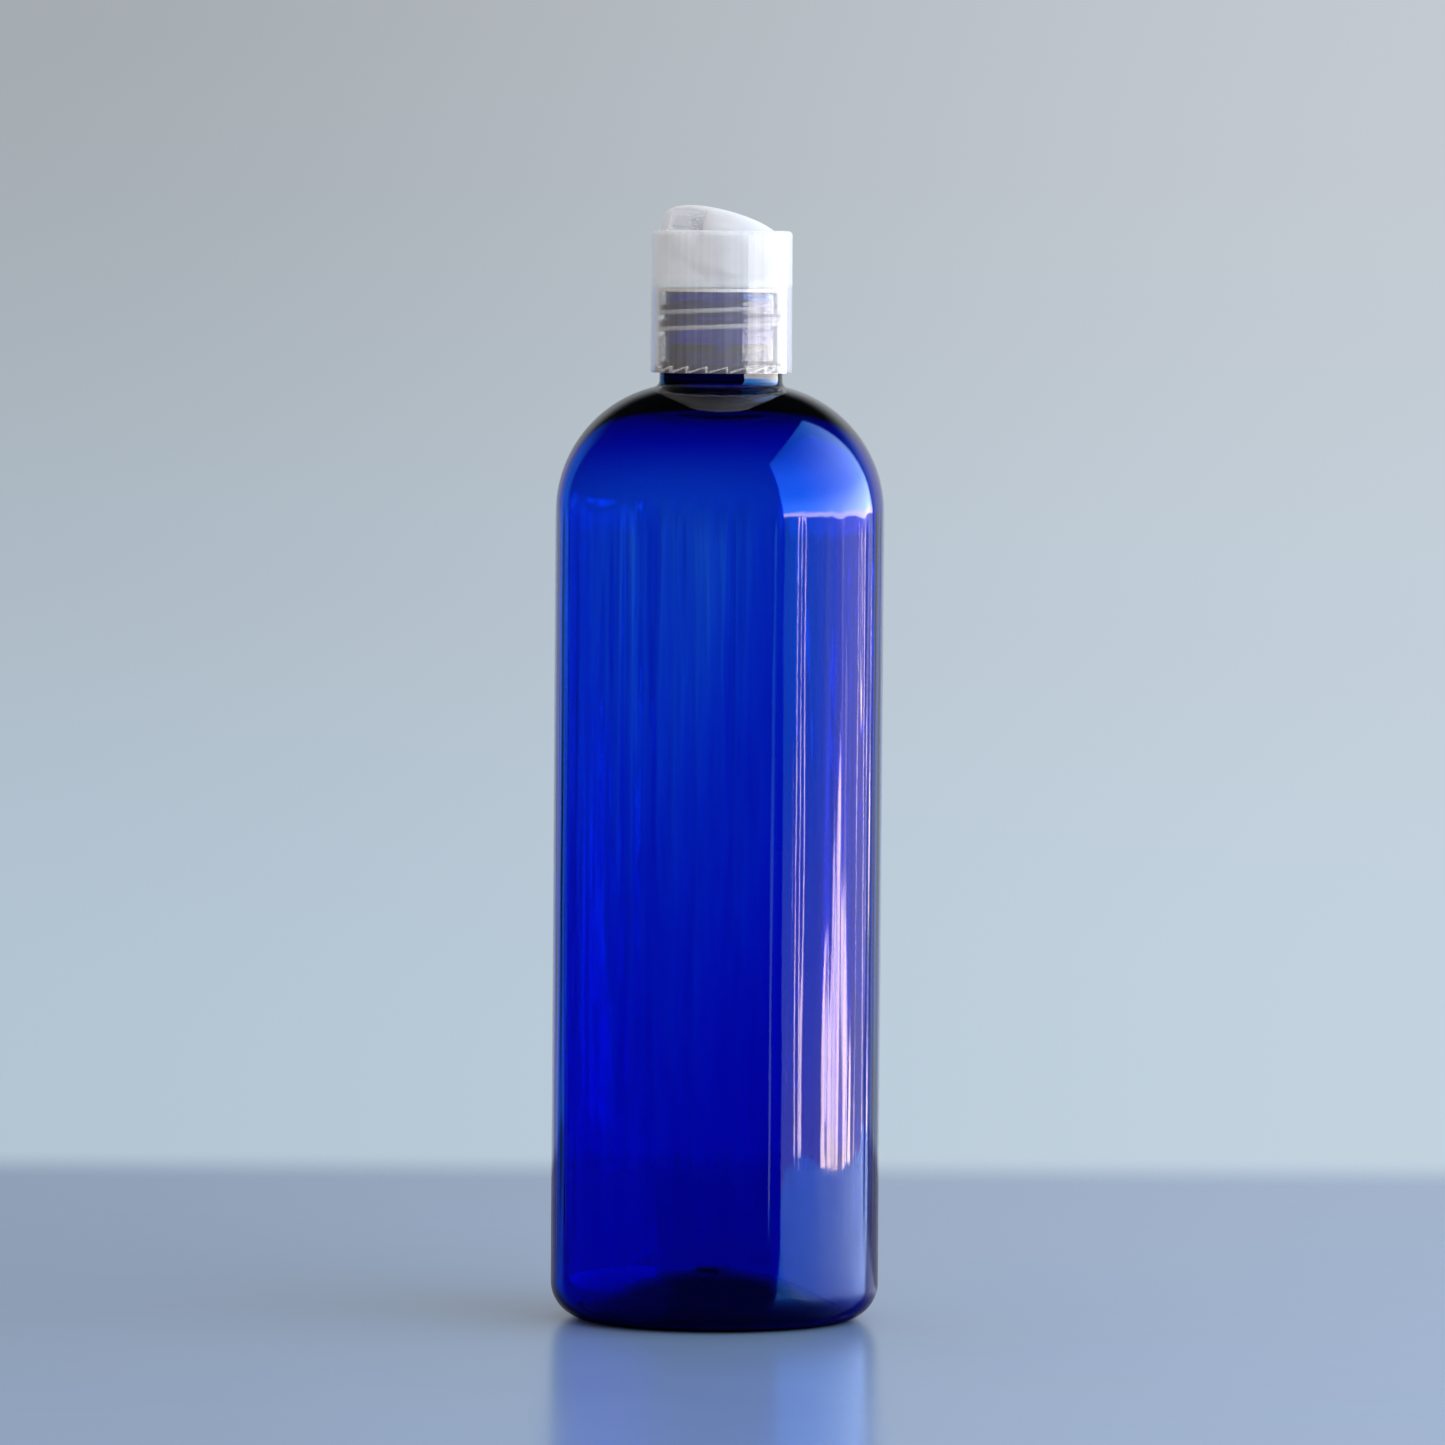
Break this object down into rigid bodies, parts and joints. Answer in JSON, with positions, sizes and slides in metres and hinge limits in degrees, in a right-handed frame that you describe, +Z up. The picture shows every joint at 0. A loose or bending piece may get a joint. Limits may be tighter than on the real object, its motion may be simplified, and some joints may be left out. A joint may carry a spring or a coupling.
{
  "type": "disc top squeeze bottle",
  "caption": "Round-shouldered blown plastic bottle with a translucent screw cap whose tilting disc opens and shuts the spout; shown with the disc open.",
  "frame": {"origin": "middle of the base, on the surface that the bottle stands on", "axes": "+Z up along the bottle's axis, -Y the way the spout points, X along the disc's pivot"},
  "size_m": [0.0634, 0.0634, 0.2152],
  "materials": {
    "blue_pet": "see-through cobalt blue blown PET, glossy",
    "natural_pp": "natural milky polypropylene, satin, moulded",
    "liner_foam": "white polyethylene foam, matt"
  },
  "bodies": {
    "bottle": {"bottle": "blue_pet"},
    "sealing_ring": {"sealing_ring": "liner_foam"},
    "cap": {"cap_body": "natural_pp"},
    "disc": {"disc": "natural_pp"}
  },
  "joints": [
    {"name": "cap_lift", "type": "slide", "parent": "bottle", "child": "sealing_ring", "axis": [0, 0, 1], "range_m": [0, 0.0191]},
    {"name": "cap_turn", "type": "hinge", "parent": "sealing_ring", "child": "cap", "pos_m": [0, 0, 0.1993], "axis": [0, 0, 1], "range_deg": [0, 2160]},
    {"name": "disc_tilt", "type": "hinge", "parent": "cap", "child": "disc", "pos_m": [0, 0, 0.2086], "axis": [1, 0, 0], "range_deg": [0, 23]}
  ],
  "couplings": [
    {"joint": "cap_lift", "follows": "cap_turn", "m_per_rad": 0.00050532}
  ]
}
